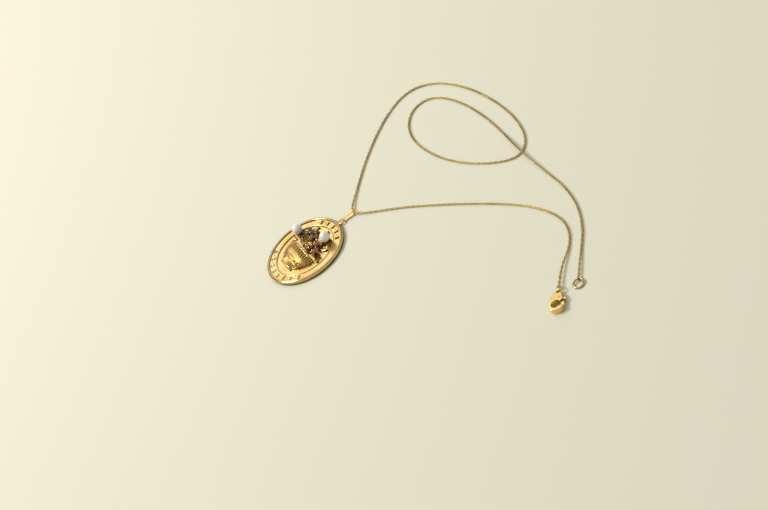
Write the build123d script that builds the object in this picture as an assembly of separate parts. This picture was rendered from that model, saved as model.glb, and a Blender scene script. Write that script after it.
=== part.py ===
"""Pendant necklace: a round gold medallion with a basket of gem flowers, on a fine chain.

Millimetres. The origin is the centre of the medallion's back face. +Z is the face's normal,
+Y points to the bail and +X to the medallion's right. The necklace lies open on z = 0: the
medallion on its back, the chain round it, and the two ends of the clasp side by side.
"""

from build123d import *
from math import asin, atan2, cos, degrees, hypot, pi, radians, sin, sqrt, tan
import os

os.makedirs("parts", exist_ok=True)

# ---- Fits ------------------------------------------------------------------------------
glue_gap = 0.02            # between a stone or pearl and its seat
solder_sink = 0.1          # how far a round wire is filed flat where it is soldered on
pivot_clearance = 0.04     # radial, lever on its rivet
lever_side_clearance = 0.06
lever_tip_gap = 0.1

# ---- Medallion: plate, rim and engraved band -------------------------------------------
disc_radius = 14.0
rim_width = 0.9
rim_height = 1.5
rim_round = 0.35
plate_thickness = 1.1
field_radius = 10.6        # polished field inside the engraved band
field_depth = 0.15
field_wire_radius = 0.2
motif_length = 2.0
motif_width = 0.8
motif_depth = 0.15
motif_pitch_deg = 15.0
top_motifs = 5
bottom_motifs = 8
pip_radius = 0.16          # small round punch between two motifs

# ---- Basket, in half relief on the field -----------------------------------------------
basket_top_y = -0.7
basket_height = 6.7
basket_half_width = 7.5
basket_foot_half_width = 3.4
basket_relief = 0.38       # depth over half width
rope_radius = 0.45
rib_radius = 0.2
rib_length = 1.5
rib_count = 17
rib_span_deg = 156.0
hoop_radius = 0.22
hoop_depths = (2.5, 3.7, 4.9)
foot_height = 0.7
foot_margin = 0.35

# ---- Bouquet ---------------------------------------------------------------------------
bouquet_thickness = 0.7
bouquet_centre = (-0.3, 2.7)
bouquet_half_width = 5.2
bouquet_half_height = 2.5
stalk_width = 1.0
stalk_root = (0.0, 0.6)
pad_margin = 0.12          # bouquet plate proud of what stands on it

pearl_radius = 1.75
pearl_cup_radius = 1.15
pearl_cup_height = 0.75
pearl_peg_radius = 0.3
pearl_peg_depth = 1.0
pearl_sites = {"left": (-8.3, 2.6), "right": (4.6, 7.4)}

ruby_radius = 1.0
ruby_sites = ((-0.9, 4.4), (3.8, 4.0), (6.1, 1.7))
sapphire_radius = 0.62
blue_flower_centre = (-4.7, 4.3)
blue_flower_reach = 1.75
blue_flower_turn_deg = 49.0
blue_petals = 5
bud_site = (-2.3, 7.0)
setting_scale = 1.05       # height of a stone's girdle over its own radius
prong_radius_per_stone = 0.19
prongs = 4
setting_base_thickness = 0.3
pollen_radius = 0.72

blossom_centre = (1.3, 1.8)
blossom_petal_radius = 0.72
blossom_reach = 1.0
blossom_petals = 5
blossom_bead_radius = 0.55
grain_radius = 0.36
grain_sites = ((-2.9, 1.3), (-1.7, 1.7), (-0.7, 2.5), (3.6, 1.7), (1.3, 4.1))

leaf_length = 2.7
leaf_width = 1.25
leaf_thickness = 0.5
leaf_sites = {              # foot of the leaf and the way it points, in degrees
    "leaf_low_left": (-7.3, 0.5, 186.0),
    "leaf_high_left": (-5.6, 6.3, 70.0),
    "leaf_top": (0.9, 7.4, 100.0),
    "leaf_high_right": (5.6, 3.9, 38.0),
    "leaf_low_right": (7.2, 0.6, -6.0),
}

# ---- Loop and bail ---------------------------------------------------------------------
loop_wire_radius = 0.3
loop_major_radius = 0.95
bail_strip = 0.27
bail_eye_clearance = 0.12  # round the loop's wire
bail_throat_clearance = 0.17  # round the chain
bail_hang_gap = 0.05       # left between the chain and the top of the throat
bail_length = 3.88         # eye centre to throat centre
bail_eye_half_width = 0.3
bail_top_half_width = 0.7

# ---- Chain and its ends ----------------------------------------------------------------
chain_diameter = 0.9
crossing_clearance = 3.0
link_height = 1.0          # height of the clasp's line of rings
end_ring_major_radius = 0.6
end_ring_wire_radius = 0.18
clasp_ring_major_radius = 1.1
clasp_ring_wire_radius = 0.2
clasp_ring_tilt_deg = 50.0
catch_ring_major_radius = 1.6
catch_ring_wire_radius = 0.28

# ---- Clasp, lobster claw ---------------------------------------------------------------
clasp_thickness = 1.9
clasp_eye_outer_radius = 0.95
clasp_eye_hole_radius = 0.5
clasp_eye_thickness = 0.7
claw_centre_reach = 5.1    # eye to the middle of the claw
claw_outer_radius = 2.45
claw_inner_radius = 1.45
mouth_reach = 3.3          # rivet to the face of the claw's tip
mouth_from_deg = 25.0
mouth_to_deg = 128.0       # end of the cheeks over the lever
lever_root_deg = 160.0
lever_drop = 0.3           # underside of the lever's root, below the rivet's axis
lever_thickness = 0.8
rivet_radius = 0.27
rivet_place = (2.75, 1.0)
lever_hub_radius = 0.72
lever_tab_length = 1.0
lever_tab_width = 0.75
spring_thickness = 0.12
spring_width = 0.6
spring_reach = (0.6, 1.0)  # foot and tip of the leaf, past the rivet

# ---- Heights that follow ---------------------------------------------------------------
plate_radius = disc_radius - rim_width
field_z = plate_thickness - field_depth
bouquet_z = field_z + bouquet_thickness
chain_radius = chain_diameter / 2
crossing_z = chain_radius + chain_diameter + crossing_clearance


def save(shape, name):
    """Write one sub-part, named, as a STEP file."""
    shape.label = name
    export_step(shape, f"parts/{name}.step")
    return shape


def group(shapes, name):
    """Write separate like solids as one sub-part."""
    return save(Compound(children=list(shapes)), name)


def on_circle(radius, angle_deg, centre=(0.0, 0.0)):
    """Point at a polar place round a centre."""
    a = radians(angle_deg)
    return (centre[0] + radius * cos(a), centre[1] + radius * sin(a))


def lens(length, width):
    """Pointed oval, its length along X, centred."""
    arc_radius = (length**2 / 4 + width**2 / 4) / width
    offset = arc_radius - width / 2
    return Pos(0, offset) * Circle(arc_radius) & Pos(0, -offset) * Circle(arc_radius)


def standing_ball(x, y, z, radius, sink):
    """Ball filed flat at its foot, standing on height z."""
    ball = Pos(x, y, z + radius - sink) * Sphere(radius)
    side = 4 * radius
    return ball & Pos(x, y, z) * Box(side, side, side, align=(Align.CENTER, Align.CENTER, Align.MIN))


# ========================================================================================
# Medallion plate, with its engraved band
# ========================================================================================
plate = extrude(Circle(plate_radius), plate_thickness)
plate -= Pos(0, 0, field_z) * extrude(Circle(field_radius), field_depth)

band_radius = (field_radius + field_wire_radius + plate_radius) / 2
motif_floor = plate_thickness - motif_depth
top_angles = [90 + motif_pitch_deg * (i - (top_motifs - 1) / 2) for i in range(top_motifs)]
bottom_angles = [270 + motif_pitch_deg * (i - (bottom_motifs - 1) / 2) for i in range(bottom_motifs)]


def band_motif(angle_deg):
    """Two crossed leaves with a punched pip on one side: a generic engraved ornament."""
    leaf = extrude(lens(motif_length, motif_width), motif_depth)
    sprig = Rot(0, 0, 35) * leaf + Rot(0, 0, -35) * leaf
    pip_reach = band_radius * radians(motif_pitch_deg) / 2
    sprig += Pos(pip_reach, 0) * extrude(Circle(pip_radius), motif_depth)
    x, y = on_circle(band_radius, angle_deg)
    return Pos(x, y, motif_floor) * Rot(0, 0, angle_deg + 90) * sprig


for band_angle in top_angles + bottom_angles:
    plate -= band_motif(band_angle)
save(plate, "medallion_plate")

# ---- Rim, soldered round the plate ----
rim = extrude(Circle(disc_radius) - Circle(plate_radius), rim_height)
rim = fillet(rim.edges().filter_by(GeomType.CIRCLE).group_by(Axis.Z)[-1], min(rim_round, 0.45 * rim_width))
save(rim, "rim")

# ---- Half-round wire between band and field ----
field_wire = Pos(0, 0, plate_thickness) * Torus(field_radius, field_wire_radius) - plate
save(field_wire, "field_wire")

# ========================================================================================
# Basket
# ========================================================================================
basket_bottom_y = basket_top_y - basket_height
side_step = basket_half_width - basket_foot_half_width
side_radius = (side_step**2 + basket_height**2) / (2 * side_step)
side_centre_x = basket_half_width - side_radius
above_field = Pos(0, 0, field_z) * Box(4 * disc_radius, 4 * disc_radius, 2 * disc_radius,
                                       align=(Align.CENTER, Align.CENTER, Align.MIN))


def basket_width_at(y):
    """Half width of the basket at a height on the medallion."""
    return side_centre_x + sqrt(side_radius**2 - (y - basket_top_y) ** 2)


def relief(profile_face):
    """Turn a half outline round Y, press it flat in Z and keep the half above the field."""
    turned = revolve(profile_face, Axis.Y, 360)
    pressed = scale(turned, by=(1, 1, basket_relief))
    return Pos(0, 0, field_z) * pressed & above_field


middle_y = basket_top_y - basket_height / 2
basket_outline = ThreePointArc((basket_half_width, basket_top_y), (basket_width_at(middle_y), middle_y),
                               (basket_foot_half_width, basket_bottom_y))
basket_outline += Polyline((basket_foot_half_width, basket_bottom_y), (0, basket_bottom_y), (0, basket_top_y),
                           (basket_half_width, basket_top_y))
basket_body = save(relief(make_face(basket_outline)), "basket_body")

foot_half_width = basket_foot_half_width + foot_margin
foot_middle_y = basket_bottom_y - foot_height / 2
foot_face = Pos(foot_half_width / 2, foot_middle_y) * Rectangle(foot_half_width, foot_height)
basket_foot = save(relief(foot_face), "basket_foot")


def wire_round_basket(y, wire_radius):
    """Half hoop of round wire that follows the basket's surface at height y."""
    half_width = basket_width_at(y)
    path = Plane(origin=(0, y, field_z), x_dir=(1, 0, 0), z_dir=(0, -1, 0)) * EllipticalCenterArc(
        (0, 0), half_width, half_width * basket_relief, 0, arc_size=180)
    return sweep(Plane(origin=path @ 0, z_dir=path % 0) * Circle(wire_radius), path=path)


basket_rope = save((wire_round_basket(basket_top_y, rope_radius) & above_field) - basket_body, "basket_rope")

hoops = []
for hoop_depth in hoop_depths:
    hoop = (wire_round_basket(basket_top_y - hoop_depth, hoop_radius) & above_field) - basket_body
    hoops.append(hoop)
group(hoops, "basket_hoops")

ribs = []
rib_top_y = basket_top_y - rope_radius
for i in range(rib_count):
    rib_angle = radians(90 + rib_span_deg * (i / (rib_count - 1) - 0.5))
    rib_half_width = basket_width_at(rib_top_y - rib_length / 2)
    rib_x = rib_half_width * cos(rib_angle)
    rib_z = field_z + rib_half_width * basket_relief * sin(rib_angle)
    rib = Pos(rib_x, rib_top_y - rib_length / 2, rib_z) * Rot(90, 0, 0) * Cylinder(rib_radius, rib_length)
    ribs.append((rib & above_field) - basket_body - basket_rope)
group(ribs, "basket_ribs")

# ========================================================================================
# Bouquet plate: a pad of foliage with a stalk to each flower
# ========================================================================================
blue_flower_radius = blue_flower_reach + sapphire_radius * (1 + prong_radius_per_stone)
blossom_radius = blossom_reach + blossom_petal_radius
pads = [(site, pearl_cup_radius) for site in pearl_sites.values()]
pads += [(site, ruby_radius) for site in ruby_sites]
pads += [(blue_flower_centre, blue_flower_radius), (bud_site, sapphire_radius)]
pads += [(blossom_centre, blossom_radius)]

bouquet_outline = Pos(*bouquet_centre) * Ellipse(bouquet_half_width, bouquet_half_height)
for (pad_x, pad_y), pad_radius in pads:
    bouquet_outline += Pos(pad_x, pad_y) * Circle(pad_radius + pad_margin)
    stalk_length = hypot(pad_x - stalk_root[0], pad_y - stalk_root[1])
    stalk_angle = degrees(atan2(pad_y - stalk_root[1], pad_x - stalk_root[0]))
    stalk = Pos(stalk_length / 2, 0) * Rectangle(stalk_length, stalk_width)
    bouquet_outline += Pos(*stalk_root) * Rot(0, 0, stalk_angle) * stalk
bouquet_plate = Pos(0, 0, field_z) * extrude(bouquet_outline, bouquet_thickness)
bouquet_plate -= wire_round_basket(basket_top_y, rope_radius) + basket_body
save(bouquet_plate, "bouquet_plate")

leaf_outline = Pos(leaf_length / 2, 0) * lens(leaf_length, leaf_width)
for leaf_name, (leaf_x, leaf_y, leaf_turn) in leaf_sites.items():
    leaf = Pos(leaf_x, leaf_y, field_z) * Rot(0, 0, leaf_turn) * extrude(leaf_outline, leaf_thickness)
    save(leaf - bouquet_plate, leaf_name)

# ========================================================================================
# Pearls, each glued on the peg of its cup
# ========================================================================================
for side, (pearl_x, pearl_y) in pearl_sites.items():
    pearl_z = bouquet_z + setting_base_thickness + pearl_radius
    pearl_seat = Pos(pearl_x, pearl_y, pearl_z) * Sphere(pearl_radius + glue_gap)
    peg_top_z = bouquet_z + setting_base_thickness + pearl_peg_depth
    cup = Pos(pearl_x, pearl_y, bouquet_z) * extrude(Circle(pearl_cup_radius), pearl_cup_height) - pearl_seat
    cup += Pos(pearl_x, pearl_y, bouquet_z) * extrude(Circle(pearl_peg_radius), peg_top_z - bouquet_z)
    save(cup, f"{side}_pearl_cup")
    drilling = extrude(Circle(pearl_peg_radius + glue_gap), peg_top_z - bouquet_z)
    drilling = Pos(pearl_x, pearl_y, bouquet_z) * drilling
    save(Pos(pearl_x, pearl_y, pearl_z) * Sphere(pearl_radius) - drilling, f"{side}_pearl")


# ========================================================================================
# Faceted stones in claw settings
# ========================================================================================
def stone(radius, gap=0.0):
    """Round cut stone, its girdle at z = 0: pavilion below, crown and table above."""
    girdle = 0.06 * radius
    outline = Polyline((0, -0.75 * radius - gap), (radius + gap, -girdle), (radius + gap, girdle),
                       (0.55 * radius + gap, 0.38 * radius + gap), (0, 0.38 * radius + gap), close=True)
    return revolve(make_face(Plane.XZ * outline), Axis.Z, 360)


def claw_setting(radius):
    """Tapered cup with prongs that reach over the crown; stands on z = 0."""
    height = setting_scale * radius
    prong_radius = prong_radius_per_stone * radius
    cup = Pos(0, 0, height / 2) * Cone(0.6 * radius, 0.98 * radius, height)
    for i in range(prongs):
        x, y = on_circle(radius, 45 + 360 * i / prongs)
        cup += Pos(x, y, 0) * extrude(Circle(prong_radius), height + 0.18 * radius)
        cup += Pos(x, y, height + 0.18 * radius) * Sphere(prong_radius)
    cup &= Box(4 * radius, 4 * radius, 4 * radius, align=(Align.CENTER, Align.CENTER, Align.MIN))
    return cup - Pos(0, 0, height) * stone(radius, glue_gap)


for i, (ruby_x, ruby_y) in enumerate(ruby_sites, start=1):
    save(Pos(ruby_x, ruby_y, bouquet_z) * claw_setting(ruby_radius), f"ruby_setting_{i}")
    save(Pos(ruby_x, ruby_y, bouquet_z + setting_scale * ruby_radius) * stone(ruby_radius), f"ruby_{i}")

blue_setting = extrude(Circle(blue_flower_reach), setting_base_thickness)
blue_setting = Pos(*blue_flower_centre, bouquet_z) * blue_setting
blue_settings_z = bouquet_z + setting_base_thickness
for i in range(blue_petals):
    turn_deg = blue_flower_turn_deg + 360 * i / blue_petals
    stone_x, stone_y = on_circle(blue_flower_reach, turn_deg, blue_flower_centre)
    petal_base = extrude(Circle(0.98 * sapphire_radius), setting_base_thickness)
    blue_setting += Pos(stone_x, stone_y, bouquet_z) * petal_base
    blue_setting += Pos(stone_x, stone_y, blue_settings_z) * claw_setting(sapphire_radius)
    girdle_z = blue_settings_z + setting_scale * sapphire_radius
    save(Pos(stone_x, stone_y, girdle_z) * stone(sapphire_radius), f"sapphire_{i + 1}")
save(blue_setting, "blue_flower_setting")
pollen = standing_ball(*blue_flower_centre, blue_settings_z, pollen_radius, solder_sink)
save(pollen - blue_setting, "blue_flower_bead")

save(Pos(*bud_site, bouquet_z) * claw_setting(sapphire_radius), "bud_setting")
save(Pos(*bud_site, bouquet_z + setting_scale * sapphire_radius) * stone(sapphire_radius), "bud_sapphire")

# ========================================================================================
# Gold blossom and grains
# ========================================================================================
blossom = Pos(*blossom_centre, bouquet_z) * extrude(Circle(blossom_reach), setting_base_thickness)
for i in range(blossom_petals):
    petal_x, petal_y = on_circle(blossom_reach, 90 + 360 * i / blossom_petals, blossom_centre)
    blossom += standing_ball(petal_x, petal_y, bouquet_z, blossom_petal_radius, 2 * solder_sink)
blossom_bead = standing_ball(*blossom_centre, bouquet_z + setting_base_thickness, blossom_bead_radius, 0)
blossom_bead = Pos(0, 0, 2 * solder_sink) * blossom_bead
save(blossom - blossom_bead, "gold_blossom")
save(blossom_bead, "gold_blossom_bead")
group([standing_ball(x, y, bouquet_z, grain_radius, solder_sink) for x, y in grain_sites], "gold_grains")

# ========================================================================================
# Loop on the rim, and the bail that hangs on it
# ========================================================================================
wire_z = rim_height / 2
bail_eye_radius = loop_wire_radius + bail_eye_clearance
bail_throat_radius = chain_radius + bail_throat_clearance
loop_y = disc_radius + loop_major_radius + loop_wire_radius - solder_sink
rim_envelope = extrude(Circle(disc_radius), rim_height)
save(Pos(0, loop_y, wire_z) * Torus(loop_major_radius, loop_wire_radius) - rim_envelope, "rim_loop")

eye_y = loop_y + loop_major_radius
throat_y = eye_y + bail_length
throat_z = bail_throat_radius + bail_strip


def bail_side(eye_radius, throat_radius):
    """Outline that wraps the eye and the throat, seen from the side (local x is Y, local y is Z)."""
    eye = Pos(eye_y, wire_z) * CenterArc((0, 0), eye_radius, 0, 360)
    throat = Pos(throat_y, throat_z) * CenterArc((0, 0), throat_radius, 0, 360)
    return make_hull([eye, throat])


bail_outer = bail_side(bail_eye_radius + bail_strip, bail_throat_radius + bail_strip)
bail_ring = bail_outer - bail_side(bail_eye_radius, bail_throat_radius)
bail_low_y = eye_y - bail_eye_radius - bail_strip
bail_high_y = throat_y + bail_throat_radius + bail_strip
bail = extrude(Plane.YZ * bail_ring, 2 * bail_top_half_width, both=True)
taper = make_face(Polyline((-bail_eye_half_width, bail_low_y), (bail_eye_half_width, bail_low_y),
                           (bail_top_half_width, bail_high_y), (-bail_top_half_width, bail_high_y),
                           close=True))
bail &= extrude(taper, 4 * throat_z, both=True)
save(bail, "bail")

# ========================================================================================
# Chain: a plain tube along the route, from the clasp's end to the catch ring's end
# ========================================================================================
chain_y = throat_y + bail_throat_clearance - bail_hang_gap
chain_z = throat_z
low = chain_radius
catch_end_z = end_ring_major_radius + end_ring_wire_radius
chain_route = [
    (92.6, 46.8, link_height),
    (87.0, 51.2, link_height),
    (82.2, 57.2, low),
    (76.2, 61.4, low),
    (68.5, 62.9, low),
    (57.0, 60.3, low),
    (45.0, 54.1, low),
    (29.0, 43.4, low),
    (15.4, 33.2, low),
    (7.9, 26.2, low),
    (2.2, chain_y, chain_z),
    (-2.2, chain_y, chain_z),
    (-8.6, 25.9, low),
    (-18.8, 35.2, low),
    (-27.2, 44.9, low),
    (-33.0, 53.9, low),
    (-35.2, 61.6, low),
    (-32.4, 68.4, low),
    (-24.5, 73.8, low),
    (-11.5, 77.6, low),
    (4.0, 79.2, low),
    (18.5, 78.4, low),
    (29.2, 75.0, low),
    (33.0, 69.4, low),
    (28.0, 63.4, low),
    (20.5, 58.2, low),
    (11.5, 54.0, low),
    (1.0, 51.5, low),
    (-10.0, 51.0, low),
    (-19.2, 53.6, low),
    (-25.0, 59.2, low),
    (-24.4, 65.6, low),
    (-18.0, 69.6, low),
    (-7.0, 72.0, low),
    (6.0, 72.8, low),
    (17.5, 72.2, low),
    (27.4, 71.2, crossing_z),
    (36.8, 70.7, crossing_z),
    (47.0, 71.0, low),
    (58.5, 71.0, low),
    (69.5, 69.0, low),
    (79.0, 64.6, low),
    (86.0, 59.2, low),
    (90.8, 55.6, catch_end_z),
    (95.0, 52.4, catch_end_z),
]


def bend_radii(points):
    """Arc radius at each inner point: as large as the shorter of its two runs allows."""
    radii = []
    for before, here, after in zip(points, points[1:], points[2:]):
        run_in = Vector(*here) - Vector(*before)
        run_out = Vector(*after) - Vector(*here)
        half_turn = radians(run_in.get_angle(run_out)) / 2
        radii.append(0.45 * min(run_in.length, run_out.length) / tan(half_turn))
    return radii


chain_radii = bend_radii(chain_route)
chain_line = FilletPolyline(*chain_route, radius=chain_radii)
chain_section = Plane(origin=chain_line @ 0, z_dir=chain_line % 0) * Circle(chain_radius)
chain = save(sweep(chain_section, path=chain_line), "chain")
print("chain length", round(chain_line.length, 1), "radii", [round(r, 1) for r in chain_radii])
print("volume over section times length", round(chain.volume / (pi * chain_radius**2 * chain_line.length), 5))


def outward(end, before):
    """Unit direction in which the chain leaves its end."""
    run = Vector(*end) - Vector(*before)
    return run.normalized()


# ---- Soldered end rings: flat at the clasp, upright at the catch ----
end_reach = end_ring_major_radius + end_ring_wire_radius - solder_sink
clasp_way = outward(chain_route[0], chain_route[1])
clasp_side = Vector(0, 0, 1).cross(clasp_way)
clasp_end = Vector(*chain_route[0]) + clasp_way * end_reach
end_ring = Torus(end_ring_major_radius, end_ring_wire_radius)
save(Pos(clasp_end) * end_ring - chain, "clasp_end_ring")

catch_way = outward(chain_route[-1], chain_route[-2])
catch_side = Vector(0, 0, 1).cross(catch_way)
catch_end = Vector(*chain_route[-1]) + catch_way * end_reach
save(Plane(origin=catch_end, x_dir=catch_way, z_dir=catch_side).location * end_ring - chain, "catch_end_ring")

# ---- Catch ring: leans from the end ring down to the floor ----
catch_near_z = catch_end.Z - end_ring_major_radius + end_ring_wire_radius
catch_near_z += catch_ring_wire_radius + solder_sink
catch_lean = asin((catch_near_z - catch_ring_wire_radius) / (2 * catch_ring_major_radius))
catch_near = Vector(catch_end.X, catch_end.Y, catch_near_z)
catch_slope = catch_way * cos(catch_lean) - Vector(0, 0, 1) * sin(catch_lean)
catch_centre = catch_near + catch_slope * catch_ring_major_radius
catch_plane = Plane(origin=catch_centre, x_dir=catch_slope, z_dir=catch_slope.cross(catch_side))
save(catch_plane.location * Torus(catch_ring_major_radius, catch_ring_wire_radius), "catch_ring")

# ---- Clasp's own ring, tilted between the flat end ring and the flat clasp ----
tilt = radians(clasp_ring_tilt_deg)
ring_across = clasp_side * cos(tilt) + Vector(0, 0, 1) * sin(tilt)
clasp_ring_centre = clasp_end + clasp_way * clasp_ring_major_radius
clasp_ring_plane = Plane(origin=clasp_ring_centre, x_dir=clasp_way, z_dir=clasp_way.cross(ring_across))
save(clasp_ring_plane.location * Torus(clasp_ring_major_radius, clasp_ring_wire_radius), "clasp_ring")

# ========================================================================================
# Clasp, drawn with its eye at the origin and the claw along +X, then laid in line
# ========================================================================================
clasp_eye = clasp_end + clasp_way * (2 * clasp_ring_major_radius)
clasp_place = Plane(origin=clasp_eye, x_dir=clasp_way, z_dir=(0, 0, 1)).location


def slab(outline, thickness):
    """Plate of the given thickness, half above and half below its outline."""
    return extrude(outline, thickness / 2, both=True)


def wedge(from_deg, to_deg, reach):
    """Sector about the claw's middle."""
    middle = (from_deg + to_deg) / 2
    fan = Polyline((0, 0), on_circle(reach, from_deg), on_circle(1.4 * reach, middle),
                   on_circle(reach, to_deg), close=True)
    return Pos(claw_centre_reach, 0) * make_face(fan)


claw_ring = Circle(claw_outer_radius) - Circle(claw_inner_radius)
eye_arc = CenterArc((0, 0), clasp_eye_outer_radius, 0, 360)
claw_arc = CenterArc((claw_centre_reach, 0), claw_outer_radius, 0, 360)
claw_hole = Pos(claw_centre_reach, 0) * Circle(claw_inner_radius)
mouth = wedge(mouth_from_deg, mouth_to_deg, 2 * claw_outer_radius) & Pos(*rivet_place) * Circle(mouth_reach)
clasp_body = slab(make_hull([eye_arc, claw_arc]) - claw_hole - mouth, clasp_thickness)
clasp_body -= slab(Circle(clasp_eye_hole_radius), clasp_thickness)

# The eye is thinner than the claw.
eye_block = Rectangle(2 * clasp_eye_outer_radius, 4 * clasp_eye_outer_radius)
clasp_body -= slab(eye_block, clasp_thickness) - slab(eye_block, clasp_eye_thickness)

# The lever's slot: a layer between two cheeks, open at the mouth's side and into the claw's hole.
slot_radius = lever_hub_radius + lever_side_clearance
slot_floor = rivet_place[1] - slot_radius
slot_reach = claw_centre_reach - rivet_place[0]
slot_height = 2 * claw_outer_radius
slot = Pos(*rivet_place) * Circle(slot_radius)
slot += Pos(rivet_place[0] - slot_radius, rivet_place[1]) * Rectangle(
    slot_radius + slot_reach, slot_height, align=(Align.MIN, Align.MIN))
slot += Pos(rivet_place[0], slot_floor) * Rectangle(slot_reach, slot_height, align=(Align.MIN, Align.MIN))
clasp_body -= slab(slot, lever_thickness + 2 * lever_side_clearance)
rivet = Pos(*rivet_place) * slab(Circle(rivet_radius), clasp_thickness)
save(clasp_place * (clasp_body - rivet), "clasp_body")
save(clasp_place * rivet, "clasp_rivet")

# ---- Lever: a hub on the rivet, the arm that closes the mouth, and a thumb tab ----
arm = (Pos(claw_centre_reach, 0) * claw_ring) & wedge(mouth_from_deg, lever_root_deg, 2 * claw_outer_radius)
arm &= Pos(*rivet_place) * Circle(mouth_reach - lever_tip_gap)
arm &= Pos(rivet_place[0], rivet_place[1] - lever_drop) * Rectangle(
    slot_height, slot_height, align=(Align.MIN, Align.MIN))
hub = Pos(*rivet_place) * Circle(lever_hub_radius)
tab = Pos(rivet_place[0] + 0.1, rivet_place[1] + lever_hub_radius) * Rot(0, 0, -18) * Rectangle(
    lever_tab_width, 2 * lever_tab_length)
lever = slab(arm + hub + tab, lever_thickness)
lever -= Pos(*rivet_place) * slab(Circle(rivet_radius + pivot_clearance), clasp_thickness)
save(clasp_place * lever, "clasp_lever")

# ---- Leaf spring under the lever's root, from the slot's floor ----
spring_foot_x, spring_tip_x = (rivet_place[0] + reach for reach in spring_reach)
lever_underside = rivet_place[1] - lever_drop
leaf_spring = make_face(Polyline(
    (spring_foot_x, slot_floor), (spring_foot_x + spring_thickness, slot_floor),
    (spring_tip_x, lever_underside), (spring_tip_x - spring_thickness, lever_underside), close=True))
save(clasp_place * (slab(leaf_spring, spring_width) - clasp_body - lever), "clasp_spring")
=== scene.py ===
"""Pendant necklace, the visual model: gold medallion with a basket of gem flowers, on a cable chain.

Metres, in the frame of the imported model: +Z out of the medallion's face, +Y to its bail. Shapes are worked
out in millimetres, as a jeweller measures them, and scaled once when a mesh is made.
"""

from math import cos, hypot, pi, radians, sin, sqrt

import bmesh
import bpy
from mathutils import Matrix, Vector, noise


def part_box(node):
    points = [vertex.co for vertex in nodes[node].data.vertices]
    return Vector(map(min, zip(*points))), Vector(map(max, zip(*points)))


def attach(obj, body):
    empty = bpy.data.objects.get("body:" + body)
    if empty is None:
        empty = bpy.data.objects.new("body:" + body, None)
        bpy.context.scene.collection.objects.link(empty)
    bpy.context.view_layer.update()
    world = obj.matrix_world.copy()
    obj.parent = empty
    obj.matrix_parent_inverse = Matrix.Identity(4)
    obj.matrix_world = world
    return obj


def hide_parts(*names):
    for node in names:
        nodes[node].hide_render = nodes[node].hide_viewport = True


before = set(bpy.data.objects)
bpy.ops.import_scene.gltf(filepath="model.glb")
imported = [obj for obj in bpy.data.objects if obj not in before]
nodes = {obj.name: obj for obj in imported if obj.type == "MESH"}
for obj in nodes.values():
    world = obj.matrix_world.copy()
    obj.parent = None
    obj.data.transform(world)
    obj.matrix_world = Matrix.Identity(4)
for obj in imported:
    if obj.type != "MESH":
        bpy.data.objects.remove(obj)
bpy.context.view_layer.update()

MM = 0.001
MM_PER_METRE = 1000.0
full_turn = 2 * pi


def linked(name, data):
    """An object that holds the data, in the scene."""
    made = bpy.data.objects.new(name, data)
    bpy.context.collection.objects.link(made)
    return made


def turns(count):
    """Angles of a full turn in even steps."""
    return [full_turn * step / count for step in range(count)]


# ========================================================================================
# Sizes read from the frame, in millimetres
# ========================================================================================
def span(node):
    """Lowest and highest corner of a node, in millimetres."""
    low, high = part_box(node)
    return Vector(low) / MM, Vector(high) / MM


def middle(node):
    """Centre of a node's box."""
    low, high = span(node)
    return (low + high) / 2


def half_across(node):
    """Half of a node's size along X."""
    low, high = span(node)
    return (high.x - low.x) / 2


def over_middle(node, height):
    """Point at a height over the middle of a node."""
    low, high = span(node)
    return Vector(((low.x + high.x) / 2, (low.y + high.y) / 2, height))


disc_radius = span("rim")[1].x
rim_height = span("rim")[1].z
plate_radius = span("medallion_plate")[1].x
plate_top = span("medallion_plate")[1].z
field_z = span("basket_body")[0].z
field_wire_radius = span("field_wire")[1].z - plate_top
field_radius = span("field_wire")[1].x - field_wire_radius
bouquet_z = span("bouquet_plate")[1].z
basket_top_y = span("basket_body")[1].y
basket_bottom_y = span("basket_body")[0].y
basket_half_width = span("basket_body")[1].x
basket_relief = (span("basket_body")[1].z - field_z) / basket_half_width
basket_height = basket_top_y - basket_bottom_y
basket_foot_half_width = 3.4
pearl_radius = half_across("left_pearl")
chain_width = 0.9


# ========================================================================================
# Camera: over the medallion's right shoulder, rolled so that the bail points to the upper right
# ========================================================================================
camera_azimuth = radians(84.5)
camera_elevation = radians(37.0)
camera_roll = radians(36.0)
camera_distance = 0.600
camera_lens = 89.7
camera_aim = Vector((0.0274, 0.0173, 0.0))

camera_back = Vector((sin(camera_azimuth) * cos(camera_elevation),
                      -cos(camera_azimuth) * cos(camera_elevation), sin(camera_elevation)))
level_right = Vector((cos(camera_azimuth), sin(camera_azimuth), 0))
level_up = camera_back.cross(level_right)
camera_right = level_right * cos(camera_roll) - level_up * sin(camera_roll)
camera_up = level_right * sin(camera_roll) + level_up * cos(camera_roll)

camera_data = bpy.data.cameras.new("camera")
camera_data.lens = camera_lens
camera_data.sensor_width = 36.0
camera_data.clip_start = 0.01
camera = linked("camera", camera_data)
camera_frame = Matrix((camera_right, camera_up, camera_back)).transposed().to_4x4()
camera_frame.translation = camera_aim + camera_back * camera_distance
camera.matrix_world = camera_frame
bpy.context.scene.camera = camera


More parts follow.
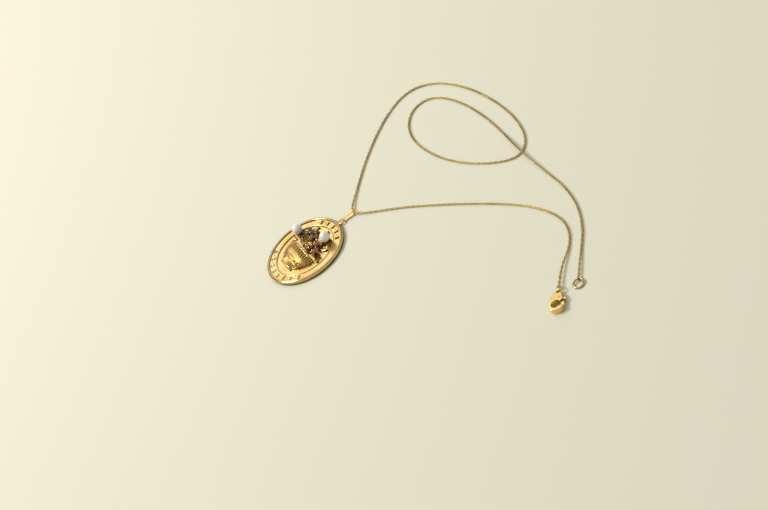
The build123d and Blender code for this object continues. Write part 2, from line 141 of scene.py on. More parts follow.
# ========================================================================================
# Shader maths and materials
# ========================================================================================
class Value:
    """A socket that takes part in Python sums; each operation adds a Math node."""

    def __init__(self, material, socket):
        self.material = material
        self.socket = socket

    def _math(self, operation, first, second):
        return self.material.node("ShaderNodeMath", {"operation": operation}, {0: first, 1: second}).value()

    def __add__(self, other):
        return self._math("ADD", self, other)

    def __radd__(self, other):
        return self._math("ADD", other, self)

    def __rsub__(self, other):
        return self._math("SUBTRACT", other, self)

    def __mul__(self, other):
        return self._math("MULTIPLY", self, other)

    def __rmul__(self, other):
        return self._math("MULTIPLY", other, self)

    def step(self, low, high):
        """0 below low, 1 above high, smooth between."""
        settings = {"interpolation_type": "SMOOTHSTEP"}
        return self.material.node("ShaderNodeMapRange", settings, {0: self, 1: low, 2: high}).value()


class Node:
    """A shader node whose outputs can be taken as values."""

    def __init__(self, material, node):
        self.material = material
        self.node = node

    def value(self, output=0):
        return Value(self.material, self.node.outputs[output])


class Finish:
    """A material with one Principled shader, and a method that adds any other node."""

    def __init__(self, name, color, roughness, metallic=0.0, **fixed):
        self.data = bpy.data.materials.new(name)
        self.data.use_nodes = True
        self.tree = self.data.node_tree
        self.shader = self.tree.nodes["Principled BSDF"]
        self.data.diffuse_color = (*color, 1)
        self.set("Base Color", (*color, 1))
        self.set("Roughness", roughness)
        self.set("Metallic", metallic)
        for socket, amount in fixed.items():
            self.set(socket.replace("_", " ").title().replace("Ior", "IOR"), amount)

    def set(self, socket, amount):
        target = self.shader.inputs[socket]
        if isinstance(amount, Value):
            self.tree.links.new(amount.socket, target)
        else:
            target.default_value = amount

    def node(self, kind, settings=None, inputs=None):
        made = self.tree.nodes.new(kind)
        for key, setting in (settings or {}).items():
            setattr(made, key, setting)
        for key, amount in (inputs or {}).items():
            if isinstance(amount, Value):
                self.tree.links.new(amount.socket, made.inputs[key])
            else:
                made.inputs[key].default_value = amount
        return Node(self, made)

    def place(self):
        """Object coordinates, in metres."""
        return self.node("ShaderNodeTexCoord").value("Object")

    def height(self):
        """Y of the object coordinates, which runs from the medallion's foot to its bail, in millimetres."""
        return self.node("ShaderNodeSeparateXYZ", None, {0: self.place()}).value(1) * MM_PER_METRE

    def noise(self, per_mm, detail=3.0, roughness=0.55):
        settings = {"noise_dimensions": "3D"}
        inputs = {"Vector": self.place(), "Scale": per_mm * MM_PER_METRE, "Detail": detail,
                  "Roughness": roughness}
        return self.node("ShaderNodeTexNoise", settings, inputs).value(0)

    def cells(self, per_mm):
        inputs = {"Vector": self.place(), "Scale": per_mm * MM_PER_METRE}
        return self.node("ShaderNodeTexVoronoi", {"feature": "F1"}, inputs).value("Distance")

    def mix(self, factor, first, second):
        """Colour between two colours, which are values or plain RGB."""
        plain = [c if isinstance(c, Value) else (*c, 1) for c in (first, second)]
        settings = {"data_type": "RGBA", "blend_type": "MIX"}
        made = self.node("ShaderNodeMix", settings, {0: factor, 6: plain[0], 7: plain[1]})
        return made.value(2)

    def bump(self, height, depth_mm, strength=1.0):
        inputs = {"Height": height, "Distance": depth_mm * MM, "Strength": strength}
        self.set("Normal", self.node("ShaderNodeBump", None, inputs).value())

    def attribute(self, name):
        return self.node("ShaderNodeAttribute", {"attribute_name": name}).value("Fac")


def polished_gold(name, color, deep, roughness, hollow=None):
    """Yellow gold: a slow drift of tone, hairline scratches and a finer grain that softens the gloss."""
    finish = Finish(name, color, roughness, metallic=1.0)
    drift = finish.noise(0.22, 2.0)
    grain = finish.noise(9.0, 2.0)
    scratch = finish.node("ShaderNodeTexNoise", {"noise_dimensions": "3D"}, {
        "Vector": finish.node("ShaderNodeMapping", None, {
            "Vector": finish.place(), "Scale": (1.0, 14.0, 1.0), "Rotation": (0, 0, 0.6)}).value(),
        "Scale": 900.0, "Detail": 2.0}).value()
    tone = finish.mix(drift.step(0.35, 0.7), color, deep)
    # painted shade: where the mask says so, the tone goes to near-black brown; on the engraved plate the mask
    # also holds the engraving's patina
    if hollow is not None:
        tone = finish.mix(hollow(finish), tone, (0.085, 0.045, 0.012))
    finish.set("Base Color", tone)
    finish.set("Roughness", roughness + 0.10 * grain.step(0.4, 0.8) + 0.05 * drift)
    finish.bump(scratch * 0.5 + grain * 0.5, 0.0035)
    return finish.data


def painted_hollow_shade(finish):
    """Painted shade: dark where a piece's own hollow attribute says so."""
    return finish.attribute("hollow").step(0.1, 0.8) * 0.92


def leaf_gold_finish():
    """Chased foliage gold: fine granular punch marks, with painted shade in the lows between them."""
    color, deep = (0.80, 0.56, 0.19), (0.55, 0.34, 0.09)
    finish = Finish("leaf gold", color, 0.26, metallic=1.0)
    punches = finish.cells(3.2)
    drift = finish.noise(0.5)
    tone = finish.mix(drift.step(0.35, 0.7), color, deep)
    # painted shade: near-black brown in the lows between the punch marks
    finish.set("Base Color", finish.mix(punches.step(0.25, 0.55) * 0.8, tone, (0.10, 0.055, 0.012)))
    finish.set("Roughness", 0.20 + 0.2 * punches.step(0.2, 0.7))
    finish.bump(1.0 - punches, 0.05)
    return finish.data


def pearl_finish():
    """White pearl: cream body colour, faint rose and green overtones, a soft coat."""
    finish = Finish("pearl", (0.97, 0.95, 0.90), 0.22, coat_weight=0.5, coat_roughness=0.08,
                    subsurface_weight=0.06, specular_ior_level=0.6)
    finish.set("Subsurface Radius", (0.0012, 0.0010, 0.0008))
    finish.set("Subsurface Scale", 0.3)
    rose = finish.noise(0.35, 1.0).step(0.42, 0.68)
    green = finish.noise(0.27, 1.0, 0.3).step(0.45, 0.75)
    body = finish.mix(rose * 0.6, (1.0, 0.975, 0.90), (1.0, 0.92, 0.86))
    finish.set("Base Color", finish.mix(green * 0.4, body, (0.93, 0.95, 0.85)))
    finish.set("Roughness", 0.14 + 0.1 * finish.noise(1.6))
    finish.bump(finish.noise(1.1, 2.0), 0.012)
    return finish.data


def gem_finish(name, color, edge, ior):
    """Clear coloured stone: light passes in, and an uneven zone of deeper colour shows inside."""
    finish = Finish(name, color, 0.02, transmission_weight=0.35, ior=ior, coat_weight=0.25,
                    coat_roughness=0.01, specular_ior_level=0.4)
    zones = finish.noise(1.4, 2.0).step(0.3, 0.7)
    finish.set("Base Color", finish.mix(zones, color, edge))
    finish.set("Roughness", 0.015 + 0.04 * finish.noise(5.0))
    return finish.data


def engraving_patina_and_shade(finish):
    """Dark in the engraving, which is the plate's patina, and painted shade where the plate meets the rim and
    the field wire: full over the medallion's upper part, about half as strong at its foot.
    """
    strength_toward_bail = finish.height().step(-11.0, 3.0) * 0.45 + 0.55
    return finish.attribute("hollow").step(0.1, 0.5) * strength_toward_bail * 0.95


def spring_finish():
    finish = Finish("spring steel", (0.55, 0.53, 0.50), 0.32, metallic=1.0)
    drawn = finish.noise(6.0, 2.0)
    finish.set("Roughness", 0.25 + 0.15 * drawn)
    finish.bump(drawn, 0.004)
    return finish.data


gold = polished_gold("polished gold", (0.87, 0.65, 0.29), (0.77, 0.52, 0.18), 0.12, painted_hollow_shade)
pollen_gold = polished_gold("pollen gold", (0.70, 0.66, 0.13), (0.48, 0.48, 0.06), 0.18, painted_hollow_shade)
plate_gold = polished_gold("engraved gold", (0.85, 0.645, 0.29), (0.76, 0.51, 0.18), 0.20, engraving_patina_and_shade)
basket_gold = polished_gold("basket gold", (0.85, 0.60, 0.23), (0.69, 0.43, 0.13), 0.22, painted_hollow_shade)
setting_gold = polished_gold("setting gold", (0.86, 0.64, 0.31), (0.72, 0.47, 0.19), 0.17, painted_hollow_shade)
leaf_polish = polished_gold("carved leaf gold", (0.76, 0.53, 0.20), (0.60, 0.36, 0.11), 0.32,
                            painted_hollow_shade)
clasp_gold = polished_gold("clasp gold", (0.80, 0.59, 0.25), (0.68, 0.45, 0.15), 0.15)
# the chain's gold is a darker copy of the medallion's gold: painted shade for the shade among its links
chain_gold = polished_gold("chain gold", (0.62, 0.47, 0.18), (0.48, 0.34, 0.12), 0.22)
leaf_gold = leaf_gold_finish()
pearl = pearl_finish()
ruby = gem_finish("ruby", (0.42, 0.006, 0.055), (0.16, 0.0, 0.022), 1.76)
sapphire = gem_finish("sapphire", (0.040, 0.034, 0.105), (0.012, 0.010, 0.035), 1.76)
spring_steel = spring_finish()


# ========================================================================================
# Mesh helpers
# ========================================================================================
def piece(name, points, faces, material, body, replaced=(), flat=False, hollow=None):
    """A mesh object from points in millimetres, riding on a body and standing for CAD nodes."""
    mesh = bpy.data.meshes.new(name)
    mesh.from_pydata([tuple(Vector(p) * MM) for p in points], [], faces)
    if hollow is not None:
        layer = mesh.attributes.new("hollow", "FLOAT", "POINT")
        layer.data.foreach_set("value", hollow)
    return finish_piece(name, mesh, material, body, replaced, flat)


def finish_piece(name, mesh, material, body, replaced=(), flat=False, merge=0.0005, sharp_deg=38.0):
    """Cleans a mesh, gives it its material and smoothing, and hides the CAD nodes it stands for."""
    work = bmesh.new()
    work.from_mesh(mesh)
    bmesh.ops.remove_doubles(work, verts=work.verts, dist=merge * MM)
    bmesh.ops.dissolve_degenerate(work, edges=work.edges, dist=merge * MM * 0.5)
    bmesh.ops.recalc_face_normals(work, faces=work.faces)
    work.to_mesh(mesh)
    work.free()
    mesh.materials.clear()
    mesh.materials.append(material)
    mesh.polygons.foreach_set("use_smooth", [not flat] * len(mesh.polygons))
    if not flat:
        mesh.set_sharp_from_angle(angle=radians(sharp_deg))
    mesh.update()
    made = linked(name, mesh)
    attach(made, body)
    if replaced:
        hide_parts(*replaced)
    return made


def baked(made):
    """The object with its modifiers applied to its mesh."""
    graph = bpy.context.evaluated_depsgraph_get()
    mesh = bpy.data.meshes.new_from_object(made.evaluated_get(graph))
    made.modifiers.clear()
    made.data = mesh
    return made


def merged_copy(node, flat_deg=None):
    """A CAD node's mesh, its doubled points merged and, where an angle is given, its flat faces joined."""
    mesh = nodes[node].data.copy()
    work = bmesh.new()
    work.from_mesh(mesh)
    bmesh.ops.remove_doubles(work, verts=work.verts, dist=0.002 * MM)
    if flat_deg is not None:
        bmesh.ops.dissolve_limit(work, angle_limit=radians(flat_deg), verts=work.verts, edges=work.edges)
    work.to_mesh(mesh)
    work.free()
    return mesh


def softened(node, material, body, edge_mm=0.0, segments=3):
    """A worked copy of a CAD node, its edges rounded over where a width is given."""
    made = linked(f"{node} finished", merged_copy(node, 1.0))
    if edge_mm:
        bevel = made.modifiers.new("round", "BEVEL")
        bevel.width = edge_mm * MM
        bevel.segments = segments
        bevel.limit_method = "ANGLE"
        bevel.angle_limit = radians(35)
        bevel.use_clamp_overlap = True
        baked(made)
    mesh = made.data
    bpy.data.objects.remove(made)
    return finish_piece(f"{node}_finished", mesh, material, body, [node], sharp_deg=50.0)


def tumbled(node, material, body, grid_mm, passes):
    """A copy of a CAD node with its edges worn round, as by tumbling: remeshed fine, then relaxed."""
    made = linked(f"{node} tumbled", merged_copy(node))
    remesh = made.modifiers.new("grid", "REMESH")
    remesh.mode = "VOXEL"
    remesh.voxel_size = grid_mm * MM
    relax = made.modifiers.new("relax", "SMOOTH")
    relax.factor = 0.5
    relax.iterations = passes
    bpy.context.view_layer.update()
    mesh = baked(made).data
    bpy.data.objects.remove(made)
    return finish_piece(f"{node}_finished", mesh, material, body, [node], sharp_deg=60.0)


def rings_to_faces(ring_count, ring_size, closed_rings=True, closed_loop=False):
    """Quads between rings of points laid one after another."""
    faces = []
    for ring in range(ring_count if closed_loop else ring_count - 1):
        following = (ring + 1) % ring_count
        for step in range(ring_size if closed_rings else ring_size - 1):
            turn = (step + 1) % ring_size
            faces.append((ring * ring_size + step, ring * ring_size + turn, following * ring_size + turn,
                          following * ring_size + step))
    return faces


def end_caps(point_count, size):
    """Faces that close the first and the last ring of points."""
    return [tuple(range(size))[::-1], tuple(range(point_count - size, point_count))]


def lathe(outline, steps):
    """Points and faces of an outline of (radius, height), closed on itself, turned about Z."""
    points = []
    for turn in turns(steps):
        points += [(radius * cos(turn), radius * sin(turn), height) for radius, height in outline]
    return points, rings_to_faces(steps, len(outline), closed_loop=True)


def frames_along(path):
    """Tangent and two sideways directions at each point of a path, turning as little as they can."""
    tangents = []
    for i in range(len(path)):
        ahead, behind = path[min(i + 1, len(path) - 1)], path[max(i - 1, 0)]
        tangents.append((ahead - behind).normalized())
    side = tangents[0].orthogonal().normalized()
    result = []
    for tangent in tangents:
        side = (side - tangent * side.dot(tangent)).normalized()
        result.append((tangent, side, tangent.cross(side)))
    return result


def tube(path, radii, sides):
    """Points and faces of a round wire along a path, its radius given at each point."""
    points = []
    for place, radius, (_, side, up) in zip(path, radii, frames_along(path)):
        points += [place + radius * (side * cos(turn) + up * sin(turn)) for turn in turns(sides)]
    return points, rings_to_faces(len(path), sides) + end_caps(len(points), sides)


def joined(parts):
    """One list of points and faces from several."""
    points, faces = [], []
    for part_points, part_faces in parts:
        start = len(points)
        points += part_points
        faces += [tuple(start + k for k in face) for face in part_faces]
    return points, faces


def moved(part, place):
    points, faces = part
    return [Vector(p) + Vector(place) for p in points], faces


def ball(radius, rings, sides):
    """A closed ball about the origin."""
    points = [Vector((0, 0, -radius))]
    for ring in range(1, rings):
        rise = -pi / 2 + pi * ring / rings
        for turn in turns(sides):
            points.append(Vector((radius * cos(rise) * cos(turn), radius * cos(rise) * sin(turn),
                                  radius * sin(rise))))
    points.append(Vector((0, 0, radius)))
    faces = [(0, 1 + (k + 1) % sides, 1 + k) for k in range(sides)]
    for ring in range(rings - 2):
        start = 1 + ring * sides
        for k in range(sides):
            turn = (k + 1) % sides
            faces.append((start + k, start + turn, start + sides + turn, start + sides + k))
    last, start = len(points) - 1, 1 + (rings - 2) * sides
    faces += [(last, start + k, start + (k + 1) % sides) for k in range(sides)]
    return points, faces


# ========================================================================================
# Chain: cable links along one smooth line
# ========================================================================================
link_height = 1.0
floor_height = 0.40
crossing_height = 1.35
bail_throat = (20.1, 0.9)
catch_height = 0.78
chain_route = [
    (92.6, 46.8, link_height),
    (87.0, 51.2, link_height),
    (82.2, 57.2, floor_height),
    (76.2, 61.4, floor_height),
    (68.5, 62.9, floor_height),
    (57.0, 60.3, floor_height),
    (45.0, 54.1, floor_height),
    (29.0, 43.4, floor_height),
    (15.4, 33.2, floor_height),
    (7.9, 26.2, floor_height),
    (1.5, *bail_throat),
    (-1.5, *bail_throat),
    (-8.6, 25.9, floor_height),
    (-18.8, 35.2, floor_height),
    (-27.2, 44.9, floor_height),
    (-33.0, 53.9, floor_height),
    (-35.2, 61.6, floor_height),
    (-32.4, 68.4, floor_height),
    (-24.5, 73.8, floor_height),
    (-11.5, 77.6, floor_height),
    (4.0, 79.2, floor_height),
    (18.5, 78.4, floor_height),
    (29.2, 75.0, floor_height),
    (33.0, 69.4, floor_height),
    (28.0, 63.4, floor_height),
    (20.5, 58.2, floor_height),
    (11.5, 54.0, floor_height),
    (1.0, 51.5, floor_height),
    (-10.0, 51.0, floor_height),
    (-19.2, 53.6, floor_height),
    (-25.0, 59.2, floor_height),
    (-24.4, 65.6, floor_height),
    (-18.0, 69.6, floor_height),
    (-7.0, 72.0, floor_height),
    (6.0, 72.8, floor_height),
    (17.5, 72.2, floor_height),
    (27.4, 71.2, crossing_height),
    (36.8, 70.7, crossing_height),
    (47.0, 71.0, floor_height),
    (58.5, 71.0, floor_height),
    (69.5, 69.0, floor_height),
    (79.0, 64.6, floor_height),
    (86.0, 59.2, floor_height),
    (90.8, 55.6, catch_height),
    (95.0, 52.4, catch_height),
]


def smooth_line(name, route):
    """Mesh and points along the NURBS line that has the route as its control points."""
    curve = bpy.data.curves.new(name, "CURVE")
    curve.dimensions = "3D"
    curve.resolution_u = 24
    spline = curve.splines.new("NURBS")
    spline.points.add(len(route) - 1)
    for point, place in zip(spline.points, route):
        point.co = (*(Vector(place) * MM), 1)
    spline.order_u = 3
    spline.use_endpoint_u = True
    line = linked(name, curve)
    bpy.context.view_layer.update()
    mesh = bpy.data.meshes.new_from_object(line)
    points = [v.co.copy() for v in mesh.vertices]
    bpy.data.objects.remove(line)
    return mesh, points


class Nodes:
    """A Geometry Nodes tree with named number inputs."""

    def __init__(self, name, **inputs):
        self.tree = bpy.data.node_groups.new(name, "GeometryNodeTree")
        self.tree.interface.new_socket("Geometry", in_out="INPUT", socket_type="NodeSocketGeometry")
        self.tree.interface.new_socket("Geometry", in_out="OUTPUT", socket_type="NodeSocketGeometry")
        self.identifiers = {}
        self.amounts = inputs
        for key, amount in inputs.items():
            kind = "NodeSocketInt" if isinstance(amount, int) else "NodeSocketFloat"
            socket = self.tree.interface.new_socket(key, in_out="INPUT", socket_type=kind)
            self.identifiers[key] = socket.identifier
        self.source = self.tree.nodes.new("NodeGroupInput")
        self.sink = self.tree.nodes.new("NodeGroupOutput")

    def given(self, key):
        return self.source.outputs[key]

    def add(self, kind, settings=None, inputs=None, output=0):
        made = self.tree.nodes.new(kind)
        for key, setting in (settings or {}).items():
            setattr(made, key, setting)
        for key, amount in (inputs or {}).items():
            if isinstance(amount, bpy.types.NodeSocket):
                self.tree.links.new(amount, made.inputs[key])
            else:
                made.inputs[key].default_value = amount
        return made.outputs[output]

    def sum(self, operation, first, second=0.0):
        return self.add("ShaderNodeMath", {"operation": operation}, {0: first, 1: second})

    def finish(self, geometry, material):
        real = self.add("GeometryNodeRealizeInstances", None, {0: geometry})
        coated = self.add("GeometryNodeSetMaterial", None, {0: real, "Material": material})
        self.tree.links.new(coated, self.sink.inputs[0])

    def grow(self, name, mesh):
        """The mesh that the tree makes from a mesh, as plain mesh data."""
        made = linked(name, mesh)
        modifier = made.modifiers.new("nodes", "NODES")
        modifier.node_group = self.tree
        for key, identifier in self.identifiers.items():
            modifier[identifier] = self.amounts[key]
        made.update_tag()
        bpy.context.view_layer.update()
        grown = baked(made).data
        bpy.data.objects.remove(made)
        return grown


def link_nodes(count, half_length, half_width, wire_radius, material):
    """Oval links, turned a quarter from one to the next, at even steps along a line."""
    tree = Nodes("cable links", Links=count, HalfLength=half_length * MM, HalfWidth=half_width * MM,
                 WireRadius=wire_radius * MM)
    line = tree.add("GeometryNodeMeshToCurve", None, {0: tree.source.outputs[0]})
    steps = tree.add("GeometryNodeCurveToPoints", {"mode": "COUNT"},
                     {"Curve": line, "Count": tree.given("Links")}).node
    oval = tree.add("GeometryNodeCurvePrimitiveCircle", {"mode": "RADIUS"}, {"Resolution": 12, "Radius": 1.0})
    shape = tree.add("ShaderNodeCombineXYZ", None,
                     {0: tree.given("HalfLength"), 1: tree.given("HalfWidth"), 2: 1.0})
    oval = tree.add("GeometryNodeTransform", None, {"Geometry": oval, "Scale": shape})
    upright = tree.add("GeometryNodeTransform", None, {"Geometry": oval, "Rotation": (0, pi / 2, 0)})
    wire = tree.add("GeometryNodeCurvePrimitiveCircle", {"mode": "RADIUS"},
                    {"Resolution": 6, "Radius": tree.given("WireRadius")})
    link = tree.add("GeometryNodeCurveToMesh", None, {"Curve": upright, "Profile Curve": wire})
    link = tree.add("GeometryNodeSetShadeSmooth", None, {0: link})
    parity = tree.sum("MODULO", tree.add("GeometryNodeInputIndex"), 2.0)
    quarter = tree.sum("MULTIPLY_ADD", parity, pi / 2)
    quarter.node.inputs[2].default_value = pi / 4
    turn = tree.add("FunctionNodeAxisAngleToRotation", None, {"Axis": (0, 0, 1), "Angle": quarter})
    turned_on = tree.add("FunctionNodeRotateRotation", {"rotation_space": "LOCAL"},
                         {"Rotation": steps.outputs["Rotation"], "Rotate By": turn})
    links = tree.add("GeometryNodeInstanceOnPoints", None,
                     {"Points": steps.outputs["Points"], "Instance": link, "Rotation": turned_on})
    tree.finish(links, material)
    return tree


link_wire_radius = 0.16
link_half_width = chain_width / 2 - link_wire_radius
link_half_length = 0.66
link_pitch = 2 * (link_half_length - link_wire_radius)
line_mesh, line_points = smooth_line("chain line", chain_route)
line_length = sum((b - a).length for a, b in zip(line_points, line_points[1:]))
link_count = round(line_length / (link_pitch * MM))
link_count += link_count % 2
link_tree = link_nodes(link_count, link_half_length, link_half_width, link_wire_radius, chain_gold)
chain_mesh = link_tree.grow("chain links", line_mesh)
chain = linked("chain_links", chain_mesh)
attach(chain, "chain")
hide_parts("chain")
print("chain line", round(line_length / MM, 1), "mm,", link_count, "links")

# ---- Rings and clasp ----
ring_bodies = {"clasp_end_ring": "chain", "catch_end_ring": "chain", "clasp_ring": "clasp_ring",
               "catch_ring": "catch_ring"}
ring_pieces = [softened(node, chain_gold, body) for node, body in ring_bodies.items()]
clasp_pieces = [
    tumbled("clasp_body", clasp_gold, "clasp", 0.055, 9),
    tumbled("clasp_lever", clasp_gold, "clasp_lever", 0.035, 6),
    softened("clasp_rivet", chain_gold, "clasp", 0.06, 2),
    softened("clasp_spring", spring_steel, "clasp"),
]

# ========================================================================================
# Medallion: plate with its engraved band, rim and field wire
# ========================================================================================
wire_low, wire_high = span("field_wire")
band_reach = (field_radius + field_wire_radius + plate_radius) / 2
motif_length, motif_width, motif_depth = 2.0, 0.8, 0.15
stem_length, stem_width = 2.1, 0.34
motif_turn = radians(35)
motif_pitch = radians(15)
pip_radius = 0.2
motif_angles = [radians(90) + motif_pitch * (i - 2) for i in range(5)]
motif_angles += [radians(270) + motif_pitch * (i - 3.5) for i in range(8)]


def smooth(x):
    """x held between 0 and 1, with a soft start and end."""
    x = min(max(x, 0.0), 1.0)
    return x * x * (3 - 2 * x)


def leaf_cut(along, across, length, width):
    """1 in the vein of a leaf centred on the origin, 0 on its edge and outside."""
    half_length = length / 2
    if abs(along) >= half_length:
        return 0.0
    half_width = width / 2 * (1 - (along / half_length) ** 2)
    return max(0.0, 1 - abs(across) / half_width) if half_width > 0 else 0.0


def band_cut(reach, angle):
    """Depth of the band's engraving, 0 to 1: crossed leaves on a short stem, a pip between two of them."""
    best = 0.0
    for centre in motif_angles:
        off = (angle - centre + pi) % full_turn - pi
        if abs(off) > motif_pitch:
            continue
        across, along = off * band_reach, reach - band_reach
        for turn in (motif_turn, -motif_turn):
            u = along * cos(turn) + across * sin(turn)
            v = across * cos(turn) - along * sin(turn)
            best = max(best, leaf_cut(u, v, motif_length, motif_width))
        best = max(best, leaf_cut(along, across, stem_length, stem_width))
        pip = hypot(across - band_reach * motif_pitch / 2, along)
        best = max(best, 1 - pip / pip_radius)
    return smooth(best * 2.2)


def plate_piece():
    """Plate from the middle of its face out to its edge, then in over its back."""
    steps, field_rows, band_rows = 1260, 16, 36
    reaches = [0.4 + 9.9 * k / field_rows for k in range(field_rows + 1)]
    reaches += [field_radius - 0.12, field_radius + 0.02]
    band_start = field_radius + 0.06
    band_width = plate_radius - field_radius - 0.06
    reaches += [band_start + band_width * k / band_rows for k in range(band_rows + 1)]
    points, hollow = [], []
    for reach in reaches:
        for angle in turns(steps):
            cut = band_cut(reach, angle) if reach > field_radius + 0.2 else 0.0
            height = field_z if reach < field_radius else plate_top - motif_depth * cut
            points.append((reach * cos(angle), reach * sin(angle), height))
            # painted shade where the plate meets the rim and the field wire; the engraving's own dark is its
            # patina
            edge = smooth((reach - plate_radius + 0.16) / 0.16) + smooth(1 - abs(reach - field_radius) / 0.35)
            hollow.append(max(cut, 0.75 * min(edge, 1.0)))
    faces = rings_to_faces(len(reaches), steps)
    back_rings = ((plate_radius, 0.12, 0.7), (plate_radius - 0.12, 0.0, 0.5), (plate_radius - 0.4, 0.0, 0.0),
                  (9.0, 0.0, 0.0), (4.0, 0.0, 0.0))
    for reach, height, shade in back_rings:
        faces += [tuple(len(points) - steps + k for k in (step, (step + 1) % steps)) +
                  tuple(len(points) + k for k in ((step + 1) % steps, step)) for step in range(steps)]
        points += [(reach * cos(angle), reach * sin(angle), height) for angle in turns(steps)]
        hollow += [shade] * steps
    centre_top, centre_back = len(points), len(points) + 1
    points += [(0, 0, field_z), (0, 0, 0)]
    hollow += [0.0, 0.0]
    back = centre_top - steps
    faces += [(centre_top, step, (step + 1) % steps) for step in range(steps)]
    faces += [(centre_back, back + (step + 1) % steps, back + step) for step in range(steps)]
    return piece("engraved_plate", points, faces, plate_gold, "medallion", ["medallion_plate"], hollow=hollow)


plate_piece()

rim_crest = ((0.05, 0.24), (0.17, 0.10), (0.30, 0.05), (0.38, 0.14), (0.46, 0.05), (0.58, 0.0), (0.74, 0.04),
             (0.86, 0.16))
rim_outline = [(plate_radius, 0.0), (disc_radius - 0.22, 0.0), (disc_radius - 0.06, 0.06), (disc_radius, 0.22),
               (disc_radius, rim_height - 0.42)]
rim_outline += [(disc_radius - inset, rim_height - drop) for inset, drop in rim_crest]
rim_outline += [(plate_radius, rim_height - 0.3), (plate_radius, plate_top - 0.1)]
# painted shade: dark over the underside and lower outer wall, in the crest's groove and down the inner wall to
# the plate
rim_shade = [0.9, 0.9, 0.9, 0.85, 0.25, 0.0, 0.0, 0.0, 0.9, 0.0, 0.0, 0.0, 0.3, 0.8, 1.0]
rim_steps = 360
piece("rim_ring", *lathe(rim_outline, rim_steps), gold, "medallion", ["rim"], hollow=rim_shade * rim_steps)

wire_middle = (wire_low.z + wire_high.z) / 2
wire_outline = [(field_radius + field_wire_radius * cos(turn), wire_middle + field_wire_radius * sin(turn))
                for turn in turns(12)]
piece("field_wire_ring", *lathe(wire_outline, rim_steps), gold, "medallion", ["field_wire"])

# ========================================================================================
# Basket in half relief: woven body, rope, ribs and hoops, foot
# ========================================================================================
side_step = basket_half_width - basket_foot_half_width
side_radius = (side_step ** 2 + basket_height ** 2) / (2 * side_step)
side_centre = basket_half_width - side_radius
rope_radius = 0.45
rib_top = basket_top_y - rope_radius
rib_bottom = rib_top - 1.5
rib_count = 17
rib_span_deg = 156
rib_radius = 0.24
weave_top = basket_top_y - 3.9
weave_row = 0.56
stave_count = 26


def basket_half(y):
    """Half of the basket's width at height y."""
    return side_centre + sqrt(side_radius ** 2 - (y - basket_top_y) ** 2)


def on_basket(y, turn, proud=0.0):
    """Point on the basket at height y, turned from its right side (0) over its front to its left (pi)."""
    half = basket_half(y)
    out = Vector((cos(turn) * basket_relief, sin(turn))).normalized()
    rise = field_z + basket_relief * half * sin(turn) + out.y * proud
    return Vector((half * cos(turn) + out.x * proud, y, rise))


def weave(y, turn):
    """Height and painted shade of the weave: strands over and under staves below, smooth gold above. The shade
    is painted between the ribs and under the strands.
    """
    if y > rib_bottom - 0.05:
        gaps = 0.5 + 0.5 * cos(full_turn * (turn / pi - 0.5) * 180 / (rib_span_deg / (rib_count - 1)))
        return -0.10 * (1 - gaps), 0.85 * smooth(1.35 - 1.6 * gaps) if y < rib_top + 0.1 else 0.4
    if y > weave_top:
        return 0.10 * smooth((rib_bottom - y) / 0.5) * smooth((y - weave_top) / 0.5), 0.0
    row = (weave_top - y) / weave_row
    stave = turn / pi * stave_count
    strand = max(0.0, sin(pi * (row % 1.0))) ** 0.8
    over = 0.5 + 0.5 * cos(pi * (stave + int(row)))
    lift = max(strand * (0.30 + 0.70 * over), 0.8 * (1 - over) * (0.5 + 0.5 * cos(full_turn * stave)) ** 0.5)
    return 0.17 * lift - 0.09, max(0.28, smooth(1.25 - 1.35 * lift))


def half_shell_closure(rows, columns):
    """Top, bottom and flat back of a half shell laid out in rows."""
    last = (rows - 1) * columns
    faces = [tuple(range(columns)), tuple(range(last, last + columns))[::-1]]
    for start in range(0, last, columns):
        faces.append((start + columns - 1, start, start + columns, start + 2 * columns - 1))
    return faces


def basket_piece():
    rows, columns = 150, 220
    points, hollow = [], []
    for row in range(rows):
        y = basket_top_y - 0.02 - (basket_height - 0.04) * row / (rows - 1)
        for column in range(columns):
            turn = pi * column / (columns - 1)
            fade = smooth(sin(turn) * 6)
            lift, dark = weave(y, turn)
            points.append(on_basket(y, turn, lift * fade - 0.02))
            hollow.append(dark)
    faces = rings_to_faces(rows, columns, closed_rings=False)
    faces += half_shell_closure(rows, columns)
    return piece("woven_basket", points, faces, basket_gold, "medallion", ["basket_body"], hollow=hollow)


basket_piece()


def rope_along(path, radius, strands, pitch, sides=20):
    """Twisted rope along a path: a lobed section that turns as it goes."""
    points, hollow, travelled = [], [], 0.0
    for i, (place, (_, side, up)) in enumerate(zip(path, frames_along(path))):
        if i:
            travelled += (place - path[i - 1]).length
        for turn in turns(sides):
            lobe = abs(cos(strands / 2 * (turn + full_turn * travelled / pitch / strands)))
            reach = radius * (0.74 + 0.26 * lobe ** 0.7)
            points.append(place + reach * (side * cos(turn) + up * sin(turn)))
            # painted shade in the grooves between the strands
            hollow.append(smooth(1.2 - 2.2 * lobe))
    return points, rings_to_faces(len(path), sides) + end_caps(len(points), sides), hollow


def hoop_path(y, steps, lift=0.0, low=0.03):
    """Points round the basket's front at height y, ending a small turn above the plate on each side."""
    return [on_basket(y, low + (pi - 2 * low) * k / (steps - 1), lift) for k in range(steps)]


rope_points, rope_faces, rope_groove_shade = rope_along(hoop_path(basket_top_y, 260), rope_radius, 3, 1.5)
piece("basket_rim_rope", rope_points, rope_faces, basket_gold, "medallion", ["basket_rope"],
      hollow=rope_groove_shade)

hoop_steps = 120
hoop_parts = [tube(hoop_path(basket_top_y - depth, hoop_steps, 0.04), [hoop_radius] * hoop_steps, 10)
              for depth, hoop_radius in ((2.5, 0.2), (3.7, 0.22), (4.9, 0.2))]
piece("basket_hoop_wires", *joined(hoop_parts), basket_gold, "medallion", ["basket_hoops"],
      hollow=[0.0] * sum(len(points) for points, _ in hoop_parts))


